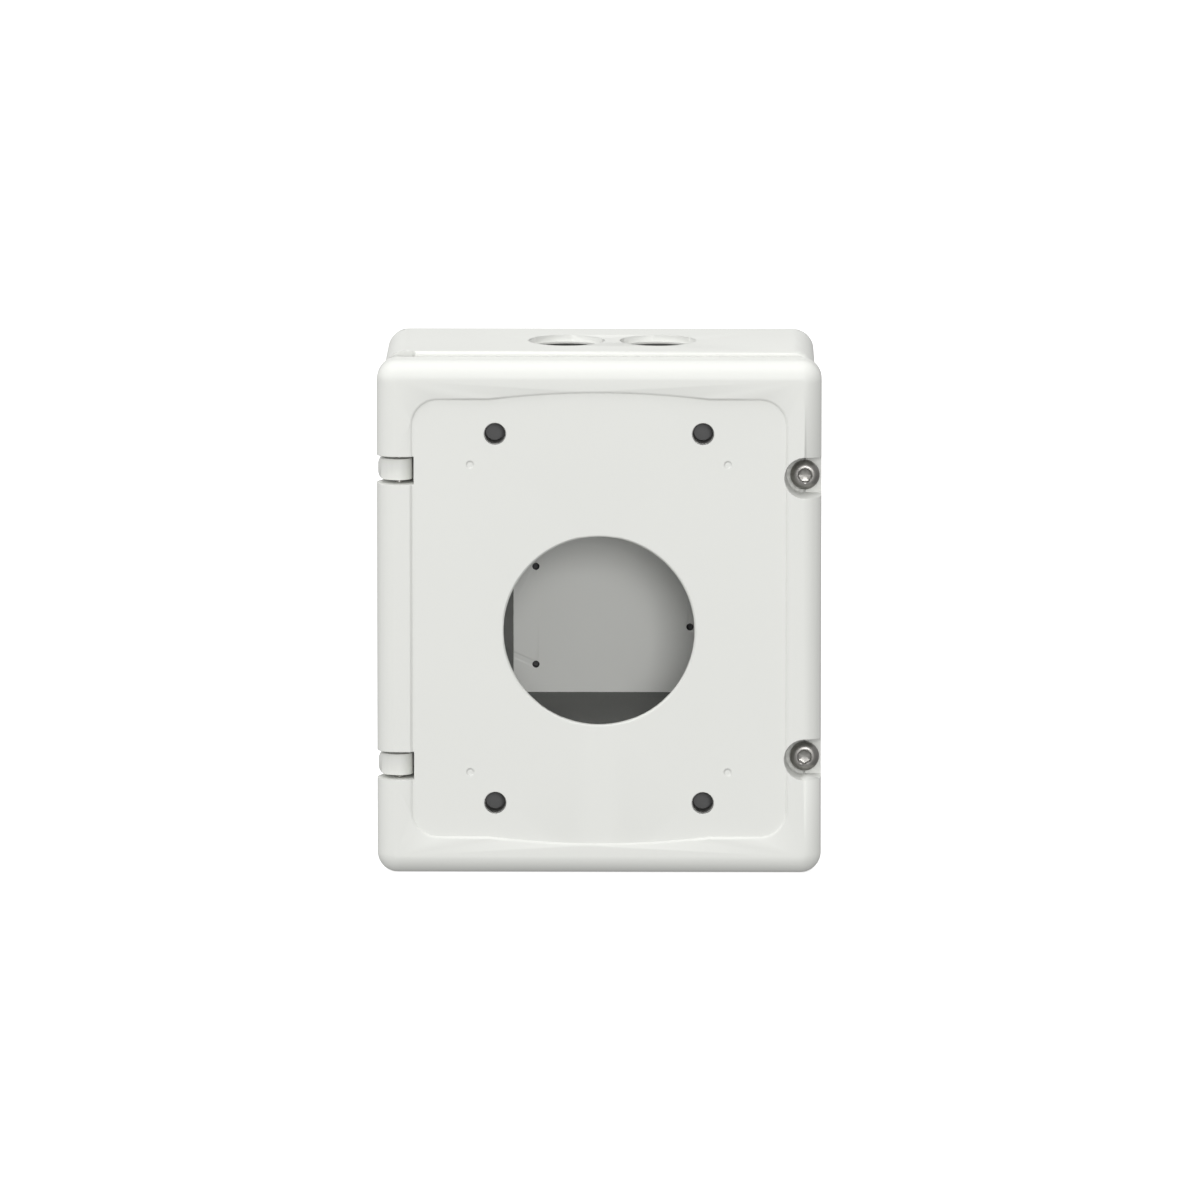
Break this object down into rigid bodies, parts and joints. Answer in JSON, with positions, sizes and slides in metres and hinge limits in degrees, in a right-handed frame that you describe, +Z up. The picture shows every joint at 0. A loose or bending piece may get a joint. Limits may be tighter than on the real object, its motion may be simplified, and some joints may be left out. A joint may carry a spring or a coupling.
{
  "type": "camera junction box",
  "caption": "Wall-mounted die-cast box with a hinged front cover, a large round cable hole, bracket fixing points and conduit entries in its top.",
  "frame": {"origin": "middle of the flat back face, which lies against the wall", "axes": "+X to the right seen from the front, +Y into the wall, +Z up; the cover faces -Y"},
  "size_m": [0.214, 0.0985, 0.2524],
  "materials": {
    "box_paint": "satin white powder coat",
    "cover_paint": "satin white powder coat",
    "seal_rubber": "matt",
    "pin_steel": "satin",
    "cover_screw_steel": "brushed",
    "washer_steel": "satin",
    "ring_plastic": "matt",
    "insert_steel": "satin",
    "divider_plastic": "matt dark grey",
    "small_screw_steel": "satin"
  },
  "bodies": {
    "box": {"housing": "box_paint", "inner_divider": "divider_plastic", "earth_screw": "small_screw_steel", "earth_washer": "washer_steel", "housing_insert_upper": "insert_steel", "divider_screw_upper_left": "small_screw_steel", "divider_screw_upper_right": "small_screw_steel", "housing_insert_lower": "insert_steel", "divider_screw_lower_left": "small_screw_steel", "divider_screw_lower_right": "small_screw_steel"},
    "cover": {"front_cover": "cover_paint", "cover_gasket": "seal_rubber", "hinge_pin_upper": "pin_steel", "cover_screw_washer_upper": "washer_steel", "screw_retaining_ring_upper": "ring_plastic", "bracket_insert_upper_left": "insert_steel", "bracket_insert_upper_right": "insert_steel", "hinge_pin_lower": "pin_steel", "cover_screw_washer_lower": "washer_steel", "screw_retaining_ring_lower": "ring_plastic", "bracket_insert_lower_left": "insert_steel", "bracket_insert_lower_right": "insert_steel"},
    "cover_screw_upper": {"cover_screw_upper": "cover_screw_steel"},
    "cover_screw_lower": {"cover_screw_lower": "cover_screw_steel"}
  },
  "joints": [
    {"name": "cover_hinge", "type": "hinge", "parent": "box", "child": "cover", "pos_m": [-0.0963, -0.088, 0], "axis": [0, 0, -1], "range_deg": [0, 110]},
    {"name": "cover_screw_upper_slide", "type": "slide", "parent": "cover", "child": "cover_screw_upper", "axis": [0, -1, 0], "range_m": [0, 0.0065]},
    {"name": "cover_screw_lower_slide", "type": "slide", "parent": "cover", "child": "cover_screw_lower", "axis": [0, -1, 0], "range_m": [0, 0.0065]}
  ]
}
